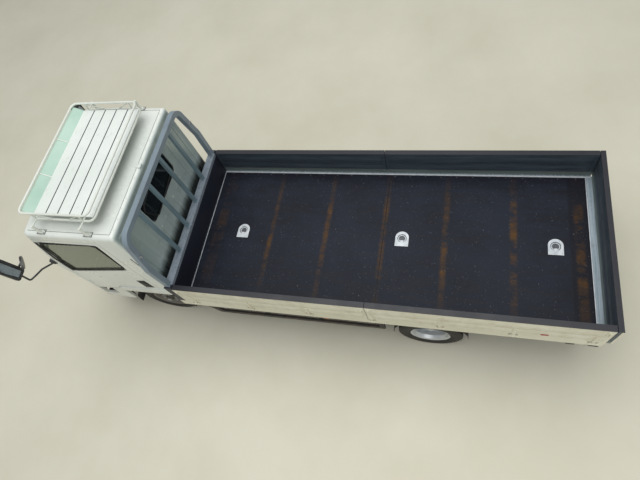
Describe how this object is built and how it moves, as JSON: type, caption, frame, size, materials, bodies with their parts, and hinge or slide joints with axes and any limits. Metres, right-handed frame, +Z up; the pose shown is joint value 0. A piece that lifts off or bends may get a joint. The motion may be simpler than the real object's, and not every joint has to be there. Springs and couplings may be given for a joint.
{
  "type": "light cab-over flatbed truck",
  "caption": "Light cab-over truck with a steel drop-side bed, a guard frame behind the cab, a roof rack, opening doors, gates and tailgate, a tilting cab and steered wheels.",
  "frame": {"origin": "middle of the truck's bounding box, on the ground under the tyres", "axes": "+Z up, front of the truck towards -Y, the truck's own left side towards +X"},
  "size_m": [2.3468, 6.21, 2.476],
  "materials": {
    "cab_paint": "satin",
    "interior_floor": "matte",
    "interior_plastic": "matte",
    "seat_cloth": "matte",
    "glass": "clear",
    "lamp_lens": "clear",
    "rear_lens": "gloss",
    "black_plastic": "matte",
    "mirror_plastic": "satin",
    "rack_paint": "gloss",
    "guard_paint": "satin",
    "bar_paint": "satin",
    "headboard_paint": "satin",
    "galvanised": "satin",
    "gate_paint": "satin",
    "bed_steel": "worn",
    "sill_paint": "satin",
    "chassis_paint": "satin",
    "engine_iron": "rough",
    "spring_steel": "rough",
    "tank_steel": "satin",
    "rim_paint": "gloss",
    "tyre": "matte"
  },
  "bodies": {
    "chassis": {"frame": "chassis_paint", "engine": "engine_iron", "driveline": "chassis_paint", "exhaust": "tank_steel", "fuel_tank": "tank_steel", "battery_box": "chassis_paint", "front_axle": "chassis_paint", "rear_axle": "chassis_paint", "leaf_springs": "spring_steel", "front_bumper": "cab_paint", "entry_steps": "black_plastic", "mudguards": "black_plastic", "side_guards": "guard_paint", "spare_wheel": "tyre", "rear_bar": "chassis_paint", "rear_lamps": "rear_lens", "bed_floor": "bed_steel", "bed_sills": "sill_paint", "bed_rails": "galvanised", "headboard": "headboard_paint", "headboard_rail": "galvanised", "guard_frame": "guard_paint", "guard_bars": "bar_paint", "lashing_rings": "bed_steel"},
    "cab": {"cab_shell": "cab_paint", "cab_roof": "cab_paint", "cab_floor": "interior_floor", "cab_glass": "glass", "grille": "black_plastic", "headlamps": "lamp_lens", "seats": "seat_cloth", "dashboard": "interior_plastic", "steering_wheel": "interior_plastic", "mirrors": "mirror_plastic", "roof_rack": "rack_paint", "rack_slats": "rack_paint"},
    "tailgate": {"tailgate": "gate_paint"},
    "door_left": {"door_left": "cab_paint", "door_glass_left": "glass"},
    "knuckle_left": {"knuckle_left": "chassis_paint"},
    "wheel_front_left": {"front_tyre_left": "tyre", "front_rim_left": "rim_paint"},
    "wheel_rear_left": {"rear_tyres_left": "tyre", "rear_rims_left": "rim_paint"},
    "gate_left_front": {"gate_left_front": "gate_paint"},
    "gate_left_rear": {"gate_left_rear": "gate_paint"},
    "door_right": {"door_right": "cab_paint", "door_glass_right": "glass"},
    "knuckle_right": {"knuckle_right": "chassis_paint"},
    "wheel_front_right": {"front_tyre_right": "tyre", "front_rim_right": "rim_paint"},
    "wheel_rear_right": {"rear_tyres_right": "tyre", "rear_rims_right": "rim_paint"},
    "gate_right_front": {"gate_right_front": "gate_paint"},
    "gate_right_rear": {"gate_right_rear": "gate_paint"}
  },
  "joints": [
    {"name": "cab_tilt", "type": "hinge", "parent": "chassis", "child": "cab", "pos_m": [0, -2.955, 0.76], "axis": [1, 0, 0], "range_deg": [0, 45]},
    {"name": "tailgate_hinge", "type": "hinge", "parent": "chassis", "child": "tailgate", "pos_m": [0, 3.096, 0.915], "axis": [-1, 0, 0], "range_deg": [0, 180]},
    {"name": "door_left_hinge", "type": "hinge", "parent": "cab", "child": "door_left", "pos_m": [0.845, -2.743, 1.3], "axis": [0, 0, -1], "range_deg": [0, 70]},
    {"name": "gate_left_front_hinge", "type": "hinge", "parent": "chassis", "child": "gate_left_front", "pos_m": [0.973, -0.276, 0.915], "axis": [0, 1, 0], "range_deg": [0, 180]},
    {"name": "gate_left_rear_hinge", "type": "hinge", "parent": "chassis", "child": "gate_left_rear", "pos_m": [0.973, 1.921, 0.915], "axis": [0, 1, 0], "range_deg": [0, 180]},
    {"name": "steer_left", "type": "hinge", "parent": "chassis", "child": "knuckle_left", "pos_m": [0.596, -1.965, 0.356], "axis": [0, 0, 1], "range_deg": [-35, 35]},
    {"name": "wheel_front_left_spin", "type": "hinge", "parent": "knuckle_left", "child": "wheel_front_left", "pos_m": [0.695, -1.965, 0.356], "axis": [1, 0, 0], "continuous": true},
    {"name": "wheel_rear_left_spin", "type": "hinge", "parent": "chassis", "child": "wheel_rear_left", "pos_m": [0.713, 1.435, 0.356], "axis": [1, 0, 0], "continuous": true},
    {"name": "door_right_hinge", "type": "hinge", "parent": "cab", "child": "door_right", "pos_m": [-0.845, -2.743, 1.3], "axis": [0, 0, 1], "range_deg": [0, 70]},
    {"name": "gate_right_front_hinge", "type": "hinge", "parent": "chassis", "child": "gate_right_front", "pos_m": [-0.973, -0.276, 0.915], "axis": [0, -1, 0], "range_deg": [0, 180]},
    {"name": "gate_right_rear_hinge", "type": "hinge", "parent": "chassis", "child": "gate_right_rear", "pos_m": [-0.973, 1.921, 0.915], "axis": [0, -1, 0], "range_deg": [0, 180]},
    {"name": "steer_right", "type": "hinge", "parent": "chassis", "child": "knuckle_right", "pos_m": [-0.596, -1.965, 0.356], "axis": [0, 0, 1], "range_deg": [-35, 35]},
    {"name": "wheel_front_right_spin", "type": "hinge", "parent": "knuckle_right", "child": "wheel_front_right", "pos_m": [-0.695, -1.965, 0.356], "axis": [1, 0, 0], "continuous": true},
    {"name": "wheel_rear_right_spin", "type": "hinge", "parent": "chassis", "child": "wheel_rear_right", "pos_m": [-0.713, 1.435, 0.356], "axis": [1, 0, 0], "continuous": true}
  ],
  "couplings": [
    {"joint": "steer_right", "follows": "steer_left", "ratio": 1}
  ]
}
